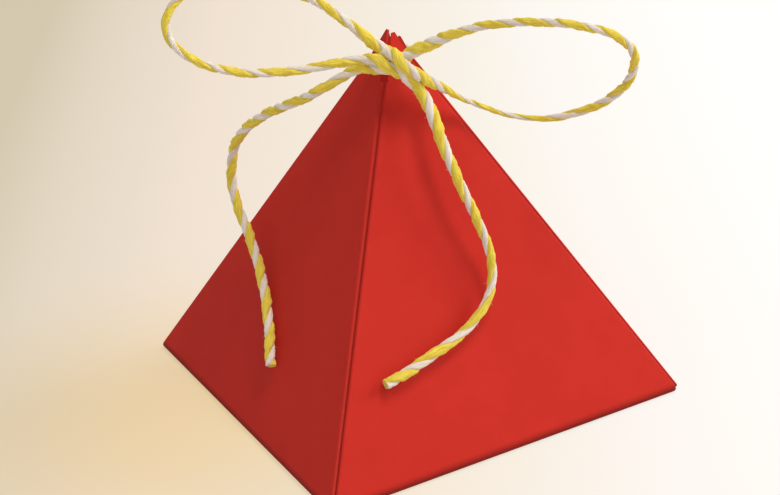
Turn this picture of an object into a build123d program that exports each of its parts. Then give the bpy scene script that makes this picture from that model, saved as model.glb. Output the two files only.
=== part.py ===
from build123d import *
import os
from math import acos, atan2, cos, degrees, hypot, pi, radians, sin, tan

# A pyramid gift box folded from one sheet of thin card and tied shut at its tip.
# Four triangular panels stand on a square base. Each has an inward flap along both
# sloping edges and a punched hole near its tip, and one length of twine is laced
# through the four holes and tied in a bow over the near corner.
# The front panel faces -Y, and the origin is under the middle of the base.

# Card sizes in millimetres, angles in degrees
base_side = 70.6
slant_height = 75.1
card = 0.3

# Inside radius of the soft base creases and of the sharp flap creases
base_crease_radius = 0.45
flap_crease_radius = 0.08

# Gap between two neighbouring panels, at the base corner and at the tip
corner_gap = 0.06
tip_gap = 0.3

# How far a base crease stops short of the corner, and the height of that notch
corner_relief = 2.0
relief_height = 1.4

# Flaps inside the sloping edges, cut back at both ends
flap_width = 7.0
flap_taper = 52.0
flap_foot = 1.8
flap_top_drop = 9.4
flap_slit = 0.4

# Above its flaps a panel is cut back by this much, up to a blunt tip
tip_setback = 0.75
tip_width = 0.6

# Each panel's tip: how far short of the sharp tip it is cut, and how far it leans out
front_tip_cut = 1.4
left_tip_cut = 0.8
back_tip_cut = 1.8
right_tip_cut = 3.0
bend_drop = 6.2
bend_radius = 5.0
front_bend = 8.0
left_bend = 1.0
back_bend = 3.0
right_bend = 11.0

# Punched holes, measured down the slope from the sharp tip
hole_diameter = 3.2
hole_drop = 7.2
hole_shift = 0.6

# Twine
twine_diameter = 1.9
arc_share = 0.45

# Angles of the folded shape
half_base = base_side / 2
incline = degrees(acos(half_base / slant_height))
base_turn = 180 - incline
corner_angle = degrees(acos(-(cos(radians(incline)) ** 2)))
flap_turn = 180 - corner_angle / 2
edge_slope = degrees(atan2(slant_height, half_base))
edge_length = hypot(slant_height, half_base)

# Setbacks of a flat face from the sharp corner where it would meet its neighbour
base_setback = (base_crease_radius + card) * tan(radians(base_turn / 2))
flap_setback = (flap_crease_radius + card) * tan(radians(flap_turn / 2))

# The front panel's outer face: x along the base crease, y up the slope
panel_plane = Plane(
    origin=(0, -half_base, 0),
    x_dir=(1, 0, 0),
    z_dir=(0, -sin(radians(incline)), cos(radians(incline))),
)
edge_along = Vector(-cos(radians(edge_slope)), sin(radians(edge_slope)))
edge_out = Vector(sin(radians(edge_slope)), cos(radians(edge_slope)))


def side_point(drop, setback):
    """A point of the panel's side, a drop down the sloping edge from the sharp tip."""
    gap = tip_gap + (corner_gap - tip_gap) * drop / edge_length
    sharp = Vector(0, slant_height) - edge_along * drop
    return sharp - edge_out * (setback + gap / 2 / sin(radians(corner_angle / 2)))


# The crease of a flap: x leaves the panel sideways, y goes into the box, z up the edge
fold_foot = panel_plane.from_local_coords(side_point(edge_length - flap_foot, flap_setback))
fold_head = panel_plane.from_local_coords(side_point(flap_top_drop + flap_slit, flap_setback))
fold_length = (fold_head - fold_foot).length
fold_along = (fold_head - fold_foot).normalized()
fold_plane = Plane(
    origin=fold_foot,
    x_dir=fold_along.cross(panel_plane.z_dir),
    z_dir=fold_along,
)

# The flap's middle surface starts where the crease's arc ends
flap_middle_radius = flap_crease_radius + card / 2
crease_corner = Vector(flap_middle_radius * tan(radians(flap_turn / 2)), card / 2)
flap_direction = Vector(cos(radians(flap_turn)), sin(radians(flap_turn)))
flap_start = crease_corner + flap_direction * crease_corner.X
flap_across = fold_plane.x_dir * flap_direction.X + fold_plane.y_dir * flap_direction.Y
flap_plane = Plane(
    origin=fold_plane.from_local_coords(flap_start),
    x_dir=flap_across,
    z_dir=flap_across.cross(fold_along),
)
flap_cut = flap_width / tan(radians(flap_taper))

# Both flaps of a panel, each a bent strip of card and its tapered blade
with BuildPart() as flaps:
    with BuildSketch(fold_plane):
        with BuildLine():
            FilletPolyline(
                (-card, card / 2),
                crease_corner,
                flap_start + flap_direction * card,
                radius=flap_middle_radius,
            )
        trace(line_width=card)
    extrude(amount=fold_length)
    with BuildSketch(flap_plane):
        with BuildLine():
            Polyline(
                (0, 0),
                (flap_width, flap_cut),
                (flap_width, fold_length - flap_cut),
                (0, fold_length),
                close=True,
            )
        make_face()
    extrude(amount=card / 2, both=True)
    mirror(about=Plane.YZ)


def make_panel(tip_cut, tip_bend):
    """One panel with its base crease, bent tip, flaps and hole, standing at the front."""
    slope = Vector(cos(radians(incline)), sin(radians(incline)))
    base_crease = Vector(-half_base + card / 2 / tan(radians(incline / 2)), card / 2)
    tip_crease = base_crease + slope * (slant_height - bend_drop)
    with BuildPart() as panel:
        with BuildSketch(Plane.YZ):
            with BuildLine():
                FilletPolyline(
                    base_crease + Vector(base_setback + card, 0),
                    base_crease,
                    tip_crease,
                    tip_crease + slope.rotate(Axis.Z, tip_bend) * bend_drop,
                    radius=[base_crease_radius + card / 2, bend_radius],
                )
            trace(line_width=card)
        extrude(amount=half_base, both=True)
        with BuildSketch(panel_plane):
            with BuildLine():
                Polyline(
                    (0, -card),
                    (half_base - corner_relief, -card),
                    side_point(edge_length - relief_height, flap_setback),
                    side_point(flap_top_drop, flap_setback),
                    side_point(flap_top_drop, tip_setback),
                    (tip_width / 2, slant_height - tip_cut),
                    (0, slant_height - tip_cut),
                    close=True,
                )
            make_face()
            mirror(about=Plane.YZ)
        extrude(amount=bend_drop, both=True, mode=Mode.INTERSECT)
        add(flaps.part)
        with Locations(panel_plane):
            with Locations((hole_shift, slant_height - hole_drop)):
                Hole(hole_diameter / 2, depth=2 * card)
    return panel.part


# Tip cut and lean of the front, left, back and right panel
tips = [
    (front_tip_cut, front_bend),
    (left_tip_cut, left_bend),
    (back_tip_cut, back_bend),
    (right_tip_cut, right_bend),
]

# The whole card: the base and its four panels in one piece
with BuildPart() as folded_card:
    with BuildSketch():
        Rectangle(2 * (half_base - base_setback), 2 * (half_base - base_setback))
    extrude(amount=card)
    for quarter, (tip_cut, tip_bend) in enumerate(tips):
        add(make_panel(tip_cut, tip_bend), rotation=(0, 0, -90 * quarter))
folded_card.part.label = "folded_card"

# The twine's route, from one cut end to the other
route = [
    # left tail, up from its cut end
    (-29.9, -4.8, 12.6),
    (-27.7, -1.0, 16.7),
    (-25.1, 5.4, 22.0),
    (-23.2, 13.3, 27.5),
    (-22.8, 21.7, 34.1),
    (-20.9, 22.8, 43.0),
    (-18.6, 14.0, 50.3),
    (-14.7, 3.3, 55.7),
    (-9.3, 0.5, 59.2),
    # low across the back of the knot
    (-6.7, -1.9, 60.9),
    (-5.4, -4.5, 61.0),
    (-3.9, -5.1, 60.7),
    (-2.1, -5.5, 60.8),
    (-1.6, -5.9, 62.3),
    (-0.1, -6.7, 63.1),
    # right loop, out above and back below
    (3.2, -9.2, 65.2),
    (8.6, -14.6, 68.4),
    (14.8, -22.2, 69.8),
    (20.2, -27.8, 69.4),
    (24.9, -30.5, 67.5),
    (28.2, -31.2, 64.0),
    (28.6, -29.7, 59.1),
    (26.7, -26.8, 55.0),
    (23.2, -21.2, 51.1),
    (17.8, -15.0, 49.3),
    (10.6, -10.2, 52.2),
    (4.1, -8.9, 56.9),
    # over the front of the knot and down to the left panel
    (0.8, -9.3, 59.4),
    (-1.5, -9.5, 61.3),
    (-3.0, -8.8, 62.8),
    (-3.3, -7.0, 64.1),
    (-3.6, -4.6, 63.0),
    (-4.4, -2.8, 61.9),
    # through the four holes, inside the two side corners and round the back one
    (-3.4, -0.5, 59.9),
    (-1.3, 0.5, 60.0),
    (-0.6, 3.4, 60.0),
    (0.9, 4.8, 60.1),
    (3.9, 5.1, 60.0),
    (5.1, 3.9, 60.0),
    (4.8, 1.6, 60.0),
    (3.4, 0.7, 60.0),
    (1.3, -0.5, 60.0),
    (0.6, -3.4, 60.0),
    # up behind the knot
    (-0.4, -4.2, 61.2),
    (-1.6, -3.6, 62.2),
    (-2.7, -2.4, 63.4),
    # left loop, out above and back below
    (-4.9, -1.6, 65.1),
    (-7.1, 0.3, 67.9),
    (-11.6, 3.8, 72.4),
    (-18.3, 7.2, 75.5),
    (-25.4, 9.5, 77.5),
    (-30.6, 10.1, 76.6),
    (-34.8, 10.0, 74.8),
    (-36.8, 8.9, 71.4),
    (-35.7, 7.0, 67.9),
    (-31.4, 4.9, 64.7),
    (-25.0, 2.9, 62.5),
    (-16.6, 0.2, 62.1),
    (-9.8, -1.9, 62.6),
    # across the knot, beside the strand in front
    (-6.5, -3.6, 62.9),
    (-5.6, -5.6, 63.0),
    (-4.7, -6.8, 62.0),
    (-3.0, -7.6, 60.9),
    (-0.7, -7.7, 58.8),
    # right tail, down the front panel to its cut end
    (0.7, -9.7, 56.5),
    (0.8, -12.8, 51.9),
    (1.1, -16.3, 46.4),
    (2.4, -19.7, 39.9),
    (4.3, -22.5, 32.6),
    (3.9, -24.3, 26.0),
    (-1.3, -25.9, 20.9),
    (-8.5, -26.7, 18.8),
    (-15.0, -27.5, 17.2),
    (-19.8, -27.9, 16.4),
]


def corner_radii(points):
    """The largest arc that each corner of the route has room for."""
    radii = []
    for before, corner, after in zip(points, points[1:], points[2:]):
        run_in = Vector(corner) - Vector(before)
        run_out = Vector(after) - Vector(corner)
        shorter = min(run_in.length, run_out.length)
        half_turn = radians(run_in.get_angle(run_out) / 2)
        radii.append(arc_share * shorter / tan(half_turn))
    return radii


bend_radii = corner_radii(route)
with BuildPart() as twine:
    with BuildLine() as twine_line:
        FilletPolyline(*route, radius=bend_radii)
    with BuildSketch(twine_line.line ^ 0):
        Circle(twine_diameter / 2)
    sweep()
twine.part.label = "twine"

os.makedirs("parts", exist_ok=True)
export_step(folded_card.part, "parts/folded_card.step")
export_step(twine.part, "parts/twine.step")

line_length = sum(edge.length for edge in twine_line.edges())
print("twine bend radii:", [round(radius, 1) for radius in bend_radii])
print("twine length:", round(line_length, 1))
print("twine section x length:", round(pi * twine_diameter**2 / 4 * line_length, 1))
print("twine volume:", round(twine.part.volume, 1))
print("card volume:", round(folded_card.part.volume, 1))
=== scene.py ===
import bpy
from math import cos, pi, radians, sin
from mathutils import Matrix, Vector


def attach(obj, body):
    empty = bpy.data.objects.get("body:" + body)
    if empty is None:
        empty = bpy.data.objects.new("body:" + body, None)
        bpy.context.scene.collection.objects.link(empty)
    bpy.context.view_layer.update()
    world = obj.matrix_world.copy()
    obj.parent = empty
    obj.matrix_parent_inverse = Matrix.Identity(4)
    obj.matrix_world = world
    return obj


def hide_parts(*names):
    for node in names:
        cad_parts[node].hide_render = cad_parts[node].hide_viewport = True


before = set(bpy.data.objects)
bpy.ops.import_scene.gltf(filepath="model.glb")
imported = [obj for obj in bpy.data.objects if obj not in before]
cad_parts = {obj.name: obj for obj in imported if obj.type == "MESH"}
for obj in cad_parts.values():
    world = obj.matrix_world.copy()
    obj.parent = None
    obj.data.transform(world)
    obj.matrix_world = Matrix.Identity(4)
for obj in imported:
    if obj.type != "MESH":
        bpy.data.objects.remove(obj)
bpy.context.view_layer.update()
scene = bpy.context.scene
scene.view_settings.view_transform = "Standard"


# small helpers for node trees: a value is either a number, a colour or another node's socket
def addNode(tree, kind, inputs=None, **settings):
    node = tree.nodes.new(kind)
    for name, value in settings.items():
        setattr(node, name, value)
    for socket, value in (inputs or {}).items():
        if isinstance(value, bpy.types.NodeSocket):
            tree.links.new(value, node.inputs[socket])
        else:
            node.inputs[socket].default_value = value
    return node


def addMath(tree, operation, first, second=0.0):
    return addNode(tree, "ShaderNodeMath", {0: first, 1: second}, operation=operation).outputs[0]


def multiply(tree, first, second):
    return addMath(tree, "MULTIPLY", first, second)


def addVector(tree, x=0.0, y=0.0, z=0.0):
    return addNode(tree, "ShaderNodeCombineXYZ", {"X": x, "Y": y, "Z": z}).outputs[0]


def addVectorMath(tree, operation, first, second):
    node = addNode(tree, "ShaderNodeVectorMath", {0: first, 1: second}, operation=operation)
    return node.outputs["Value"]


def addNoise(tree, inputs, dimensions="3D"):
    return addNode(tree, "ShaderNodeTexNoise", inputs, noise_dimensions=dimensions).outputs[0]


def addRange(tree, value, fromMin=0.0, fromMax=1.0, toMin=0.0, toMax=1.0, **settings):
    inputs = {"Value": value, "From Min": fromMin, "From Max": fromMax, "To Min": toMin, "To Max": toMax}
    return addNode(tree, "ShaderNodeMapRange", inputs, **settings).outputs["Result"]


def addMix(tree, share, first, second, blend="MIX"):
    inputs = {0: share, 6: first, 7: second}
    return addNode(tree, "ShaderNodeMix", inputs, data_type="RGBA", blend_type=blend).outputs[2]


def newMaterial(name):
    material = bpy.data.materials.new(name)
    material.use_nodes = True
    tree = material.node_tree
    return material, tree, tree.nodes["Principled BSDF"]


# roughness and fine relief of a surface, both from one changing value
def addRelief(tree, shader, value, look):
    low, high = look["roughness"]
    tree.links.new(addRange(tree, value, toMin=low, toMax=high), shader.inputs["Roughness"])
    inputs = {"Height": value, "Strength": look["relief"], "Distance": look["reliefHeight"]}
    tree.links.new(addNode(tree, "ShaderNodeBump", inputs).outputs["Normal"], shader.inputs["Normal"])
    shader.inputs["Specular IOR Level"].default_value = look["specular"]


# an object's shape with its modifiers applied, after which the object itself goes
def takeMesh(carrier):
    bpy.context.view_layer.update()
    graph = bpy.context.evaluated_depsgraph_get()
    mesh = bpy.data.meshes.new_from_object(carrier.evaluated_get(graph))
    bpy.data.objects.remove(carrier)
    return mesh


# camera, at the photograph's viewing place: metres and degrees, in the box's own frame
photographView = {
    "azimuth": -27.723,
    "elevation": 26.071,
    "roll": -3.832,
    "position": (-0.142946, -0.266905, 0.172876),
    "lens": 87.557,
    "sensorWidth": 36.0,
    "clipStart": 0.01,
}


def placeCamera(settings):
    azimuth = radians(settings["azimuth"])
    elevation = radians(settings["elevation"])
    roll = radians(settings["roll"])
    back = Vector((sin(azimuth) * cos(elevation), -cos(azimuth) * cos(elevation), sin(elevation)))
    level = Vector((cos(azimuth), sin(azimuth), 0.0))
    upright = back.cross(level)
    right = level * cos(roll) + upright * sin(roll)
    up = upright * cos(roll) - level * sin(roll)
    data = bpy.data.cameras.new("camera")
    data.sensor_fit = "HORIZONTAL"
    data.sensor_width = settings["sensorWidth"]
    data.lens = settings["lens"]
    data.clip_start = settings["clipStart"]
    camera = bpy.data.objects.new("camera", data)
    scene.collection.objects.link(camera)
    turned = Matrix((right, up, back)).transposed().to_4x4()
    camera.matrix_world = Matrix.Translation(settings["position"]) @ turned
    scene.camera = camera


placeCamera(photographView)
print("camera placed")


# the twine's route in metres, from the left cut end to the right one
twineRoute = [
    # left tail, up from its cut end
    (-0.0299, -0.0048, 0.0126),
    (-0.0277, -0.0010, 0.0167),
    (-0.0251, 0.0054, 0.0220),
    (-0.0232, 0.0133, 0.0275),
    (-0.0228, 0.0217, 0.0341),
    (-0.0209, 0.0228, 0.0430),
    (-0.0186, 0.0140, 0.0503),
    (-0.0147, 0.0033, 0.0557),
    (-0.0093, 0.0005, 0.0592),
    # low across the back of the knot
    (-0.0067, -0.0019, 0.0609),
    (-0.0054, -0.0045, 0.0610),
    (-0.0039, -0.0051, 0.0607),
    (-0.0021, -0.0055, 0.0608),
    (-0.0016, -0.0059, 0.0623),
    (-0.0001, -0.0067, 0.0631),
    # right loop, out above and back below
    (0.0032, -0.0092, 0.0652),
    (0.0086, -0.0146, 0.0684),
    (0.0148, -0.0222, 0.0698),
    (0.0202, -0.0278, 0.0694),
    (0.0249, -0.0305, 0.0675),
    (0.0282, -0.0312, 0.0640),
    (0.0286, -0.0297, 0.0591),
    (0.0267, -0.0268, 0.0550),
    (0.0232, -0.0212, 0.0511),
    (0.0178, -0.0150, 0.0493),
    (0.0106, -0.0102, 0.0522),
    (0.0041, -0.0089, 0.0569),
    # over the front of the knot and down to the left panel
    (0.0008, -0.0093, 0.0594),
    (-0.0015, -0.0095, 0.0613),
    (-0.0030, -0.0088, 0.0628),
    (-0.0033, -0.0070, 0.0641),
    (-0.0036, -0.0046, 0.0630),
    (-0.0044, -0.0028, 0.0619),
    # through the four holes, inside the two side corners and round the back one
    (-0.0034, -0.0005, 0.0599),
    (-0.0013, 0.0005, 0.0600),
    (-0.0006, 0.0034, 0.0600),
    (0.0009, 0.0048, 0.0601),
    (0.0039, 0.0051, 0.0600),
    (0.0051, 0.0039, 0.0600),
    (0.0048, 0.0016, 0.0600),
    (0.0034, 0.0007, 0.0600),
    (0.0013, -0.0005, 0.0600),
    (0.0006, -0.0034, 0.0600),
    # up behind the knot
    (-0.0004, -0.0042, 0.0612),
    (-0.0016, -0.0036, 0.0622),
    (-0.0027, -0.0024, 0.0634),
    # left loop, out above and back below
    (-0.0049, -0.0016, 0.0651),
    (-0.0071, 0.0003, 0.0679),
    (-0.0116, 0.0038, 0.0724),
    (-0.0183, 0.0072, 0.0755),
    (-0.0254, 0.0095, 0.0775),
    (-0.0306, 0.0101, 0.0766),
    (-0.0348, 0.0100, 0.0748),
    (-0.0368, 0.0089, 0.0714),
    (-0.0357, 0.0070, 0.0679),
    (-0.0314, 0.0049, 0.0647),
    (-0.0250, 0.0029, 0.0625),
    (-0.0166, 0.0002, 0.0621),
    (-0.0098, -0.0019, 0.0626),
    # across the knot, beside the strand in front
    (-0.0065, -0.0036, 0.0629),
    (-0.0056, -0.0056, 0.0630),
    (-0.0047, -0.0068, 0.0620),
    (-0.0030, -0.0076, 0.0609),
    (-0.0007, -0.0077, 0.0588),
    # right tail, down the front panel to its cut end
    (0.0007, -0.0097, 0.0565),
    (0.0008, -0.0128, 0.0519),
    (0.0011, -0.0163, 0.0464),
    (0.0024, -0.0197, 0.0399),
    (0.0043, -0.0225, 0.0326),
    (0.0039, -0.0243, 0.0260),
    (-0.0013, -0.0259, 0.0209),
    (-0.0085, -0.0267, 0.0188),
    (-0.0150, -0.0275, 0.0172),
    (-0.0198, -0.0279, 0.0164),
]

# twine, in metres: a yellow and a white ply
# "inputs" are the sizes that its node tree takes, and the pairs give a value along its length:
# "turns" the full twists up to that share of the length, so that the yellow bands fall in their
# places, and "thickness" the share of the full width there
twineLook = {
    "diameter": 0.0019,
    "length": 0.370,
    "inputs": {
        "Ply Depth": 0.00055,
        "Ply Breadth": 0.00078,
        "Ply Offset": 0.00037,
        "First Ply Share": 1.2,
        "Turns": 49.9,
        "Lay Drift": 1.2,
        "Ring Step": 0.0003,
        "Sides": 22,
        "Unevenness": 0.07,
        "Hairs Per Area": 0.12e6,
        "Hair Length": 0.0006,
        "Hair Width": 0.00003,
        "Fibre Turns": 700.0,
        "Fibre Stretch": 70.0,
    },
    "turns": [
        (0.0, 0.0), (0.1734, 9.43), (0.1911, 10.53), (0.2108, 11.44), (0.2607, 14.48),
        (0.2787, 15.46), (0.2979, 16.41), (0.3159, 17.45), (0.3347, 18.4), (0.3658, 20.5),
        (0.3892, 21.77), (0.4149, 22.68), (0.4365, 23.64), (0.4586, 24.67), (0.5, 27.25),
        (0.54, 28.9), (0.5966, 31.59), (0.6162, 32.43), (0.6988, 36.56), (0.7224, 37.44),
        (0.743, 38.52), (0.7631, 39.58), (0.7873, 40.42), (0.8553, 43.57), (0.8753, 44.41),
        (0.896, 45.51), (0.9165, 46.52), (0.9416, 47.45), (0.9698, 48.41), (0.9936, 49.53),
        (1.0, 49.9),
    ],
    "thickness": [
        (0.0, 0.98), (0.09, 0.95), (0.18, 0.9), (0.222, 0.98), (0.24, 1.18), (0.262, 0.86),
        (0.32, 0.74), (0.36, 0.8), (0.4, 0.74), (0.419, 0.5), (0.44, 0.48), (0.462, 0.82),
        (0.488, 1.1), (0.502, 1.15), (0.517, 0.95), (0.535, 0.9), (0.549, 0.7), (0.562, 0.72),
        (0.576, 0.95), (0.588, 1.12), (0.603, 0.88), (0.66, 0.76), (0.75, 0.77), (0.8, 0.95),
        (0.825, 1.1), (0.84, 1.17), (0.856, 1.08), (0.89, 0.92), (0.93, 0.84), (0.96, 0.9),
        (0.975, 0.98), (1.0, 0.94),
    ],
    "driftsPerMetre": 45.0,
    "driftDetail": 1.0,
    "lumpsPerMetre": 420.0,
    "lumpDetail": 2.0,
    "lumpShift": 31.0,
    "lumpRange": (0.25, 0.75),
    "hairSides": 3,
    "hairSteps": 4,
    "hairMiddle": 0.5,
    "hairReach": 0.55,
    "hairRise": 0.7,
    "hairLean": 1.1,
    "hairSizes": (0.35, 1.15),
    "placeSeed": 11,
    "leanSeed": 5,
    "sizeSeed": 17,
    "yellow": (0.70, 0.48, 0.02, 1.0),
    "yellowPale": (0.98, 0.84, 0.12, 1.0),
    "white": (0.82, 0.68, 0.57, 1.0),
    "whitePale": (0.98, 0.95, 0.90, 1.0),
    "fineness": 7.0,
    "fibreDetail": 3.0,
    "fibreRoughness": 0.6,
    "fibreContrast": (0.3, 0.7),
    "roughness": (0.75, 0.95),
    "relief": 0.9,
    "reliefHeight": 0.00012,
    "specular": 0.25,
    "sheen": 0.15,
    # painted glow: how strongly both plies light up in their own colour, to brighten them
    "paintedGlowStrength": 0.1,
}


# the route as one open spline, read back as points
def routePath(points):
    data = bpy.data.curves.new("twineRoute", "CURVE")
    data.dimensions = "3D"
    spline = data.splines.new("NURBS")
    spline.points.add(len(points) - 1)
    for point, place in zip(spline.points, points):
        point.co = (*place, 1.0)
    spline.order_u = 3
    spline.use_endpoint_u = True
    spline.resolution_u = 8
    carrier = bpy.data.objects.new("twineRoute", data)
    scene.collection.objects.link(carrier)
    return takeMesh(carrier)


# a node group for materials: coordinates and scales in, changing values out
def newSurfaceGroup(name, scales, results):
    group = bpy.data.node_groups.new(name, "ShaderNodeTree")
    group.interface.new_socket("Coordinates", in_out="INPUT", socket_type="NodeSocketVector")
    for scale in scales:
        group.interface.new_socket(scale, in_out="INPUT", socket_type="NodeSocketFloat")
    for result in results:
        group.interface.new_socket(result, in_out="OUTPUT", socket_type="NodeSocketFloat")
    return group, addNode(group, "NodeGroupInput").outputs, addNode(group, "NodeGroupOutput").inputs


# the fibres of both plies
def makeFibreGroup(look):
    group, given, results = newSurfaceGroup("yarnFibres", ["Fineness"], ["Fibre"])
    inputs = {"Vector": given["Coordinates"], "Scale": given["Fineness"],
              "Detail": look["fibreDetail"], "Roughness": look["fibreRoughness"]}
    low, high = look["fibreContrast"]
    group.links.new(addRange(group, addNoise(group, inputs), low, high), results["Fibre"])
    return group


def yarnMaterial(name, base, pale, fibreGroup, look):
    material, tree, shader = newMaterial(name)
    along = addNode(tree, "ShaderNodeAttribute", attribute_name="yarn").outputs["Vector"]
    inputs = {"Coordinates": along, "Fineness": look["fineness"]}
    fibre = addNode(tree, "ShaderNodeGroup", inputs, node_tree=fibreGroup).outputs["Fibre"]
    colour = addMix(tree, fibre, base, pale)
    tree.links.new(colour, shader.inputs["Base Color"])
    addRelief(tree, shader, fibre, look)
    shader.inputs["Sheen Weight"].default_value = look["sheen"]
    # painted light: both plies glow a little in their own colour
    tree.links.new(colour, shader.inputs["Emission Color"])
    shader.inputs["Emission Strength"].default_value = look["paintedGlowStrength"]
    return material


# a curve through the given pairs, with straight ("VECTOR") or rounded ("AUTO") stretches
def addProfile(tree, pairs, value, handles):
    node = tree.nodes.new("ShaderNodeFloatCurve")
    node.mapping.use_clip = False
    points = node.mapping.curves[0].points
    points[0].location = pairs[0]
    points[-1].location = pairs[-1]
    for place, height in pairs[1:-1]:
        points.new(place, height)
    for point in points:
        point.handle_type = handles
    node.mapping.update()
    tree.links.new(value, node.inputs["Value"])
    return node.outputs[0]


# one loose fibre, a thin bent tube
def addHair(tree, given, look):
    length = given["Hair Length"]
    middle = addVector(tree, z=multiply(tree, length, look["hairMiddle"]))
    reach = multiply(tree, length, look["hairReach"])
    rise = multiply(tree, length, look["hairRise"])
    inputs = {"Resolution": look["hairSteps"], "Start": (0.0, 0.0, 0.0), "Middle": middle,
              "End": addVector(tree, x=reach, z=rise)}
    line = addNode(tree, "GeometryNodeCurveQuadraticBezier", inputs)
    inputs = {"Resolution": look["hairSides"], "Radius": multiply(tree, given["Hair Width"], 0.5)}
    section = addNode(tree, "GeometryNodeCurvePrimitiveCircle", inputs)
    inputs = {"Curve": line.outputs[0], "Profile Curve": section.outputs["Curve"], "Fill Caps": True}
    return addNode(tree, "GeometryNodeCurveToMesh", inputs).outputs["Mesh"]


# a value held on each point before the curve becomes a mesh
def keepValue(tree, curve, value):
    node = addNode(tree, "GeometryNodeCaptureAttribute", {"Geometry": curve}, domain="POINT")
    node.capture_items.new("FLOAT", "Kept")
    tree.links.new(value, node.inputs["Kept"])
    return node.outputs


# a ply's cross-section: flattened, and set off to its own side of the line
def addSection(tree, given, index):
    share = given["First Ply Share"]
    if index:
        share = addMath(tree, "SUBTRACT", 2.0, share)
    inputs = {"Resolution": given["Sides"], "Radius": 1.0}
    circle = addNode(tree, "GeometryNodeCurvePrimitiveCircle", inputs).outputs["Curve"]
    around = keepValue(tree, circle, addNode(tree, "GeometryNodeSplineParameter").outputs["Factor"])
    offset = addMath(tree, "DIVIDE", given["Ply Offset"], share)
    depth = multiply(tree, given["Ply Depth"], share)
    breadth = multiply(tree, given["Ply Breadth"], share)
    inputs = {"Geometry": around["Geometry"],
              "Translation": addVector(tree, multiply(tree, offset, 1.0 - 2.0 * index)),
              "Scale": addVector(tree, depth, breadth, 1.0)}
    return addNode(tree, "GeometryNodeTransform", inputs).outputs[0], around["Kept"]


# loose fibres all over a ply, leaning every way
def addHairs(tree, given, look, ply, hair, index):
    dots = addNode(
        tree,
        "GeometryNodeDistributePointsOnFaces",
        {"Mesh": ply, "Density": given["Hairs Per Area"], "Seed": look["placeSeed"] + index},
        distribute_method="RANDOM",
    ).outputs
    most = look["hairLean"]
    inputs = {"Min": (-most, -most, -pi), "Max": (most, most, pi), "Seed": look["leanSeed"] + index}
    tilt = addNode(tree, "FunctionNodeRandomValue", inputs, data_type="FLOAT_VECTOR").outputs[0]
    inputs = {"Rotation": dots["Rotation"], "Rotate By": tilt}
    lean = addNode(tree, "FunctionNodeRotateRotation", inputs, rotation_space="LOCAL").outputs[0]
    shortest, longest = look["hairSizes"]
    inputs = {2: shortest, 3: longest, "Seed": look["sizeSeed"] + index}
    size = addNode(tree, "FunctionNodeRandomValue", inputs, data_type="FLOAT").outputs[1]
    inputs = {"Points": dots["Points"], "Instance": hair, "Rotation": lean, "Scale": size}
    return addNode(tree, "GeometryNodeInstanceOnPoints", inputs).outputs[0]


# one ply with its hairs, along the twisted line
def addPly(tree, given, look, line, hair, index):
    spacing = multiply(tree, line["metres"], look["lumpsPerMetre"])
    shifted = addMath(tree, "ADD", spacing, look["lumpShift"] * index)
    lumps = addNoise(tree, {"W": shifted, "Detail": look["lumpDetail"]}, "1D")
    thin = addMath(tree, "SUBTRACT", 1.0, given["Unevenness"])
    thick = addMath(tree, "ADD", 1.0, given["Unevenness"])
    uneven = addRange(tree, lumps, *look["lumpRange"], thin, thick)
    section, around = addSection(tree, given, index)
    inputs = {"Curve": line["rings"], "Profile Curve": section,
              "Scale": multiply(tree, line["width"], uneven), "Fill Caps": True}
    ply = addNode(tree, "GeometryNodeCurveToMesh", inputs).outputs["Mesh"]

    # coordinates that follow the fibres, for the material
    angle = addMath(
        tree,
        "ADD",
        multiply(tree, around, 2 * pi),
        multiply(tree, line["ringMetres"], given["Fibre Turns"]),
    )
    place = addVector(
        tree,
        addMath(tree, "COSINE", angle),
        addMath(tree, "SINE", angle),
        multiply(tree, line["ringMetres"], given["Fibre Stretch"]),
    )
    marked = addNode(
        tree,
        "GeometryNodeStoreNamedAttribute",
        {"Geometry": ply, "Name": "yarn"},
        data_type="FLOAT_VECTOR",
        domain="POINT",
    )
    tree.links.new(place, marked.inputs["Value"])
    smooth = addNode(tree, "GeometryNodeSetShadeSmooth", {"Geometry": marked.outputs[0]}).outputs[0]
    both = addNode(tree, "GeometryNodeJoinGeometry")
    tree.links.new(smooth, both.inputs[0])
    tree.links.new(addHairs(tree, given, look, smooth, hair, index), both.inputs[0])
    real = addNode(tree, "GeometryNodeRealizeInstances", {"Geometry": both.outputs[0]}).outputs[0]
    inputs = {"Geometry": real, "Material": given[("First Ply", "Second Ply")[index]]}
    return addNode(tree, "GeometryNodeSetMaterial", inputs).outputs[0]


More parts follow.
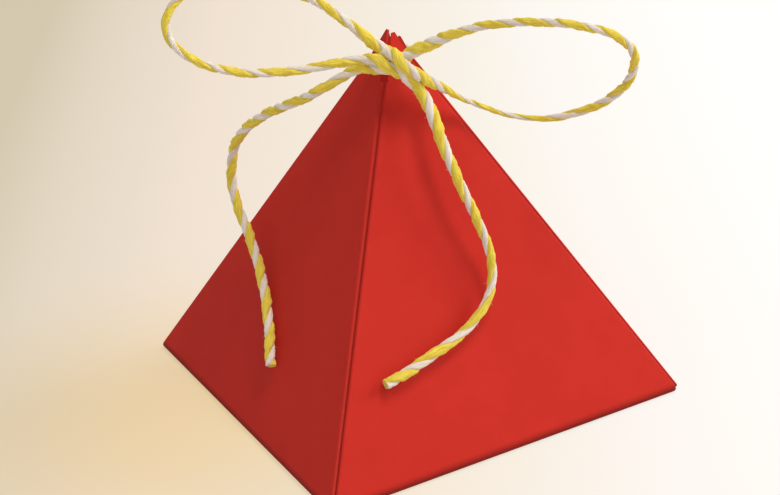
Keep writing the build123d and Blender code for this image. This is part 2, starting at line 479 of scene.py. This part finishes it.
# the node tree: two plies twisted about one line
def makeTwineTree(look):
    tree = bpy.data.node_groups.new("twistedTwine", "GeometryNodeTree")
    interface = tree.interface
    interface.new_socket("Geometry", in_out="INPUT", socket_type="NodeSocketGeometry")
    for name, value in look["inputs"].items():
        kind = "NodeSocketInt" if isinstance(value, int) else "NodeSocketFloat"
        interface.new_socket(name, in_out="INPUT", socket_type=kind)
    for name in ("First Ply", "Second Ply"):
        interface.new_socket(name, in_out="INPUT", socket_type="NodeSocketMaterial")
    interface.new_socket("Geometry", in_out="OUTPUT", socket_type="NodeSocketGeometry")
    given = addNode(tree, "NodeGroupInput").outputs

    # the line that both plies turn about, with its twist and its width
    route = addNode(tree, "GeometryNodeMeshToCurve", {"Mesh": given["Geometry"]}).outputs["Curve"]
    inputs = {"Curve": route, "Length": given["Ring Step"]}
    rings = addNode(tree, "GeometryNodeResampleCurve", inputs, mode="LENGTH").outputs["Curve"]
    along = addNode(tree, "GeometryNodeSplineParameter").outputs
    metres = along["Length"]
    spacing = multiply(tree, metres, look["driftsPerMetre"])
    drift = addNoise(tree, {"W": spacing, "Detail": look["driftDetail"]}, "1D")
    allTurns = look["turns"][-1][1]
    turnShares = [(place, count / allTurns) for place, count in look["turns"]]
    twisted = addProfile(tree, turnShares, along["Factor"], "VECTOR")
    steady = multiply(tree, twisted, multiply(tree, given["Turns"], 2 * pi))
    twist = addMath(tree, "ADD", steady, multiply(tree, drift, given["Lay Drift"]))
    turned = addNode(tree, "GeometryNodeSetCurveTilt", {"Curve": rings, "Tilt": twist}).outputs[0]
    kept = keepValue(tree, turned, metres)
    line = {
        "rings": kept["Geometry"],
        "metres": metres,
        "ringMetres": kept["Kept"],
        "width": addProfile(tree, look["thickness"], along["Factor"], "AUTO"),
    }

    hair = addHair(tree, given, look)
    plies = addNode(tree, "GeometryNodeJoinGeometry")
    for index in range(2):
        tree.links.new(addPly(tree, given, look, line, hair, index), plies.inputs[0])
    tree.links.new(plies.outputs[0], addNode(tree, "NodeGroupOutput").inputs[0])
    return tree


def setInputs(modifier, values):
    for item in modifier.node_group.interface.items_tree:
        if item.item_type == "SOCKET" and item.in_out == "INPUT" and item.name in values:
            modifier[item.identifier] = values[item.name]


def makeTwine(look):
    fibreGroup = makeFibreGroup(look)
    yellowYarn = yarnMaterial("yellowYarn", look["yellow"], look["yellowPale"], fibreGroup, look)
    whiteYarn = yarnMaterial("whiteYarn", look["white"], look["whitePale"], fibreGroup, look)
    path = routePath(twineRoute)
    carrier = bpy.data.objects.new("twineCarrier", path)
    scene.collection.objects.link(carrier)
    modifier = carrier.modifiers.new("twist", "NODES")
    modifier.node_group = makeTwineTree(look)
    setInputs(modifier, {**look["inputs"], "First Ply": yellowYarn, "Second Ply": whiteYarn})
    mesh = takeMesh(carrier)
    mesh.name = "twistedTwine"
    twine = bpy.data.objects.new("twistedTwine", mesh)
    scene.collection.objects.link(twine)
    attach(twine, "root")
    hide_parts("twine")


makeTwine(twineLook)


# card, in metres
cardLook = {
    "red": (0.60, 0.027, 0.017, 1.0),
    "redDeep": (0.54, 0.022, 0.014, 1.0),
    "grainScale": 2600.0,
    "grainDetail": 4.0,
    "grainRoughness": 0.65,
    "mottleScale": 182.0,
    "mottleDetail": 2.0,
    # painted glow on the side of the card that faces into the box
    "paintedInsideGlow": (0.115, 0.010, 0.008, 1.0),
    "insideReach": 0.004,
    # painted highlight on one side of each seam, painted shade on the other side and on the lowest strip
    # round the base: tones, widths, heights and strengths
    "foldLight": (0.74, 0.075, 0.055, 1.0),
    "foldDark": (0.20, 0.008, 0.006, 1.0),
    "foldWidth": 0.0006,
    "footDark": 0.0006,
    "footHeight": 0.002,
    "highlightStrength": 0.75,
    "seamShadeStrength": 0.9,
    "footShadeStrength": 0.85,
    "seamSlack": 0.00001,
    "roughness": (0.62, 0.8),
    "relief": 0.35,
    "reliefHeight": 0.00005,
    "specular": 0.15,
}


# fine grain, and the slow change of colour across a sheet
def makeGrainGroup(look):
    scales = ["Grain Scale", "Mottle Scale"]
    group, given, results = newSurfaceGroup("paperGrain", scales, ["Grain", "Mottle"])
    inputs = {"Vector": given["Coordinates"], "Scale": given["Grain Scale"],
              "Detail": look["grainDetail"], "Roughness": look["grainRoughness"]}
    group.links.new(addNoise(group, inputs), results["Grain"])
    inputs = {"Vector": given["Coordinates"], "Scale": given["Mottle Scale"], "Detail": look["mottleDetail"]}
    group.links.new(addNoise(group, inputs), results["Mottle"])
    return group


def cardMaterial(look):
    material, tree, shader = newMaterial("redCard")
    place = addNode(tree, "ShaderNodeTexCoord").outputs["Object"]
    grain = addNode(
        tree,
        "ShaderNodeGroup",
        {"Coordinates": place, "Grain Scale": look["grainScale"], "Mottle Scale": look["mottleScale"]},
        node_tree=makeGrainGroup(look),
    ).outputs
    colour = addMix(tree, grain["Mottle"], look["red"], look["redDeep"])

    # signed distance from the four seams, where X and Y are equally far out: one side of each fold
    # catches the light and the other lies in shade, as does the lowest strip round the base
    split = addNode(tree, "ShaderNodeSeparateXYZ", {"Vector": place}).outputs
    outX = addMath(tree, "ABSOLUTE", split["X"])
    outY = addMath(tree, "ABSOLUTE", split["Y"])
    corner = addMath(tree, "SIGN", multiply(tree, split["X"], split["Y"]))
    fromSeam = multiply(tree, addMath(tree, "SUBTRACT", outX, outY), corner)
    # painted highlight and painted shade: strips beside the seams and round the base
    for value, start, reach, paintedStrength, tone in (
        (fromSeam, 0.0, look["foldWidth"], look["highlightStrength"], look["foldLight"]),
        (multiply(tree, fromSeam, -1.0), 0.0, look["foldWidth"], look["seamShadeStrength"], look["foldDark"]),
        (split["Z"], look["footDark"], look["footHeight"], look["footShadeStrength"], look["foldDark"]),
    ):
        near = addRange(tree, value, start, reach, paintedStrength, 0.0, interpolation_type="SMOOTHSTEP")
        onSide = addMath(tree, "GREATER_THAN", value, -look["seamSlack"])
        colour = addMix(tree, multiply(tree, near, onSide), colour, tone)
    tree.links.new(colour, shader.inputs["Base Color"])

    # painted light: the side of the card that faces into the box glows a little, standing in for the light
    # that comes through
    normal = addNode(tree, "ShaderNodeNewGeometry").outputs["Normal"]
    outward = addVectorMath(tree, "DOT_PRODUCT", normal, place)
    inside = addMath(tree, "LESS_THAN", outward, look["insideReach"])
    glow = addMix(tree, inside, (0.0, 0.0, 0.0, 1.0), look["paintedInsideGlow"])
    tree.links.new(glow, shader.inputs["Emission Color"])
    shader.inputs["Emission Strength"].default_value = 1.0
    addRelief(tree, shader, grain["Grain"], look)
    return material


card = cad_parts["folded_card"]
card.data.materials.clear()
card.data.materials.append(cardMaterial(cardLook))
print("card coloured")


# floor and light: painted shade on the floor, darker and warmer towards the left, and a painted warm shadow
# beside the box
studio = {
    "floorSize": 4.0,
    "floor": (0.86, 0.84, 0.80, 1.0),
    "floorRoughness": 0.9,
    "floorSpecular": 0.1,
    "floorGlow": 0.75,
    "floorRight": (0.885, -0.465, 0.0),
    # painted shade: the floor's tones from the darker, warmer left to the bright right
    "paintedFloorShade": [
        (-0.095, (0.60, 0.51, 0.34, 1.0)),
        (-0.077, (0.73, 0.63, 0.49, 1.0)),
        (-0.045, (0.88, 0.74, 0.61, 1.0)),
        (0.019, (0.94, 0.89, 0.79, 1.0)),
        (0.04, (0.99, 0.955, 0.92, 1.0)),
        (0.09, (1.05, 1.05, 1.05, 1.0)),
    ],
    # painted warm shadow beside the box: its tint, middle and reach
    "paintedShadowTint": (1.0, 0.87, 0.54, 1.0),
    "paintedShadowMiddle": (-0.043, 0.008, 0.0),
    "paintedShadowReach": 0.07,
    "lamps": {
        "high": {"direction": (0.30, -0.20, 0.93), "distance": 1.1, "size": 0.36, "power": 6.0},
        "right": {"direction": (0.85, -0.30, 0.45), "distance": 1.1, "size": 0.5, "power": 5.2},
    },
    "lampColour": (1.0, 0.93, 0.84),
    "worldColour": (1.0, 0.97, 0.93, 1.0),
    "worldStrength": 0.47,
}


# a ramp through the floor's painted shade, by how far to the right a point lies
def addTones(tree, across, tones):
    first, last = tones[0][0], tones[-1][0]
    node = addNode(tree, "ShaderNodeValToRGB", {"Fac": addRange(tree, across, first, last)})
    stops = node.color_ramp.elements
    for index, (reach, tone) in enumerate(tones):
        place = (reach - first) / (last - first)
        if index in (0, len(tones) - 1):
            stop = stops[-1 if index else 0]
            stop.position = place
        else:
            stop = stops.new(place)
        stop.color = tone
    return node.outputs["Color"]


def makeFloor(look):
    half = look["floorSize"] / 2
    data = bpy.data.meshes.new("floor")
    corners = [(-half, -half, 0), (half, -half, 0), (half, half, 0), (-half, half, 0)]
    data.from_pydata(corners, [], [(0, 1, 2, 3)])
    floor = bpy.data.objects.new("floor", data)
    scene.collection.objects.link(floor)
    material, tree, shader = newMaterial("paleFloor")
    shader.inputs["Base Color"].default_value = look["floor"]
    shader.inputs["Roughness"].default_value = look["floorRoughness"]
    shader.inputs["Specular IOR Level"].default_value = look["floorSpecular"]
    place = addNode(tree, "ShaderNodeTexCoord").outputs["Object"]
    across = addVectorMath(tree, "DOT_PRODUCT", place, look["floorRight"])
    tones = addTones(tree, across, look["paintedFloorShade"])
    # painted warm shadow, strongest at its middle beside the box
    away = addVectorMath(tree, "DISTANCE", place, look["paintedShadowMiddle"])
    shade = addRange(tree, away, 0.0, look["paintedShadowReach"], 1.0, 0.0, interpolation_type="SMOOTHSTEP")
    tinted = addMix(tree, shade, tones, look["paintedShadowTint"], "MULTIPLY")

    # what the camera sees is mostly the painted tones and painted shadow themselves, so that the lamps can
    # stay low
    glow = addNode(tree, "ShaderNodeEmission", {"Color": tinted}).outputs[0]
    seen = addNode(tree, "ShaderNodeLightPath").outputs["Is Camera Ray"]
    inputs = {0: multiply(tree, seen, look["floorGlow"]), 1: shader.outputs[0], 2: glow}
    blend = addNode(tree, "ShaderNodeMixShader", inputs).outputs[0]
    tree.links.new(blend, tree.nodes["Material Output"].inputs["Surface"])
    data.materials.append(material)


def makeLamps(look):
    for name, settings in look["lamps"].items():
        lamp = bpy.data.lights.new(name, "AREA")
        lamp.shape = "DISK"
        lamp.size = settings["size"]
        lamp.energy = settings["power"]
        lamp.color = look["lampColour"]
        stand = bpy.data.objects.new(name, lamp)
        scene.collection.objects.link(stand)
        toward = Vector(settings["direction"]).normalized()
        turned = toward.to_track_quat("Z", "Y").to_matrix().to_4x4()
        stand.matrix_world = Matrix.Translation(toward * settings["distance"]) @ turned


def makeWorld(look):
    world = bpy.data.worlds.new("room")
    scene.world = world
    world.use_nodes = True
    background = world.node_tree.nodes["Background"]
    background.inputs["Color"].default_value = look["worldColour"]
    background.inputs["Strength"].default_value = look["worldStrength"]


makeFloor(studio)
makeLamps(studio)
makeWorld(studio)
print("floor, lamps and world made")
